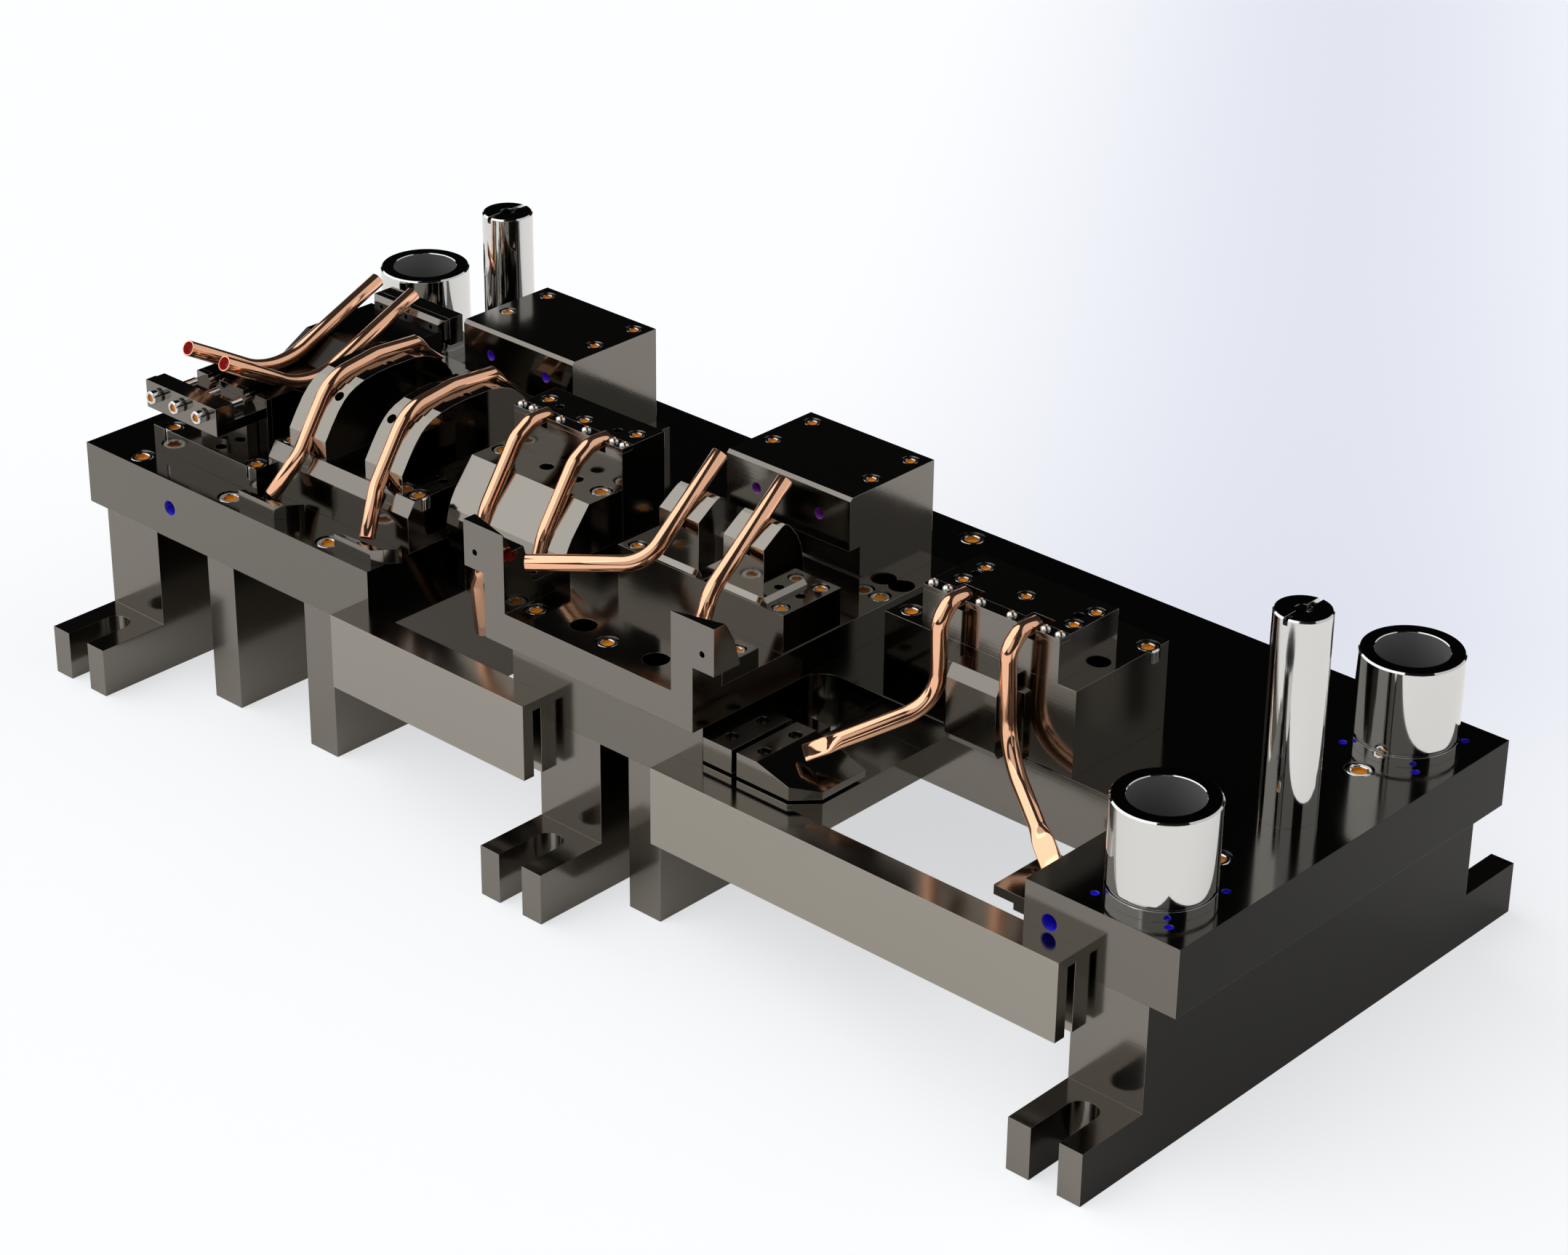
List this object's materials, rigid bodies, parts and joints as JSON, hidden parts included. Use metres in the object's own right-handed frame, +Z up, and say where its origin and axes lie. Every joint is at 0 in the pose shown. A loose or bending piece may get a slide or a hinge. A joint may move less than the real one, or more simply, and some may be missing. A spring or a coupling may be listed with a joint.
{
  "type": "tube forming die",
  "caption": "Lower half of a multi-station die that forms pairs of small tubes, on risers with slotted lugs.",
  "frame": {"origin": "middle of the die's footprint at the height that its risers stand on", "axes": "+X along the shoe towards the pierce station, +Y from front to back, +Z up"},
  "size_m": [0.886, 0.402, 0.267],
  "materials": {
    "die_steel": "ground, mirror-like",
    "chrome_ground": "polished",
    "screw_steel": "bright",
    "copper_tube": "polished copper"
  },
  "bodies": {
    "die": {"lower_shoe": "die_steel", "riser_far_left": "die_steel", "riser_left": "die_steel", "riser_inner_left": "die_steel", "riser_middle": "die_steel", "riser_inner_right": "die_steel", "riser_far_right": "die_steel", "tie_bar_left": "die_steel", "tie_bar_right": "die_steel", "shoe_screws": "screw_steel", "guide_bushing_front": "chrome_ground", "guide_bushing_back": "chrome_ground", "guide_bushing_left": "chrome_ground", "stop_post_right": "chrome_ground", "stop_post_left": "chrome_ground", "bend_plate": "die_steel", "bend_upright": "die_steel", "bend_bracket": "die_steel", "bend_bar": "die_steel", "bend_cradle": "die_steel", "bend_back_pad": "die_steel", "bend_back_block": "die_steel", "bend_screws": "screw_steel", "driver_seat_left": "die_steel", "driver_block_left": "die_steel", "driver_block_right": "die_steel", "driver_screws": "screw_steel", "saddle_base": "die_steel", "saddle_form_left": "die_steel", "saddle_form_right": "die_steel", "end_stop_left": "die_steel", "end_stop_right": "die_steel", "saddle_screws": "screw_steel", "flare_form": "die_steel", "flare_block": "die_steel", "flare_keepers": "die_steel", "flare_screws": "screw_steel", "fork_plate": "die_steel", "fork_stop_left": "die_steel", "fork_stop_right": "die_steel", "pinch_base": "die_steel", "pinch_form_left": "die_steel", "pinch_form_right": "die_steel", "pinch_screws": "screw_steel", "pierce_base": "die_steel", "pierce_head": "die_steel", "pierce_keepers": "die_steel", "pierce_insert": "die_steel", "pierce_screws": "screw_steel", "cam_rail_lower": "die_steel", "cam_base": "die_steel", "cam_pins": "screw_steel", "rest_shelf": "die_steel"},
    "bend_tubes": {"bend_tubes": "copper_tube"},
    "saddle_tubes": {"saddle_tubes": "copper_tube"},
    "flare_tubes": {"flare_tubes": "copper_tube"},
    "pinch_tubes": {"pinch_tubes": "copper_tube"},
    "pierce_tubes": {"pierce_tubes": "copper_tube"},
    "cam_pad": {"cam_pad": "die_steel"},
    "cam_rail": {"cam_rail_upper": "die_steel"}
  },
  "joints": [
    {"name": "bend_tubes_lift", "type": "slide", "parent": "die", "child": "bend_tubes", "axis": [0, 0, 1], "range_m": [0, 0.08]},
    {"name": "saddle_tubes_lift", "type": "slide", "parent": "die", "child": "saddle_tubes", "axis": [0, 0, 1], "range_m": [0, 0.08]},
    {"name": "pinch_tubes_lift", "type": "slide", "parent": "die", "child": "pinch_tubes", "axis": [0, 0, 1], "range_m": [0, 0.08]},
    {"name": "pierce_tubes_lift", "type": "slide", "parent": "die", "child": "pierce_tubes", "axis": [0, 0, 1], "range_m": [0, 0.08]},
    {"name": "flare_tubes_draw", "type": "slide", "parent": "die", "child": "flare_tubes", "axis": [0, -1, 0], "range_m": [0, 0.05]},
    {"name": "cam_pad_float", "type": "slide", "parent": "die", "child": "cam_pad", "axis": [0, 0, -1], "range_m": [0, 0.0025], "stiffness_N_per_m": 2000, "springref_m": -0.012},
    {"name": "cam_rail_float", "type": "slide", "parent": "die", "child": "cam_rail", "axis": [0, 0, -1], "range_m": [0, 0.0025], "stiffness_N_per_m": 2000, "springref_m": -0.012}
  ]
}
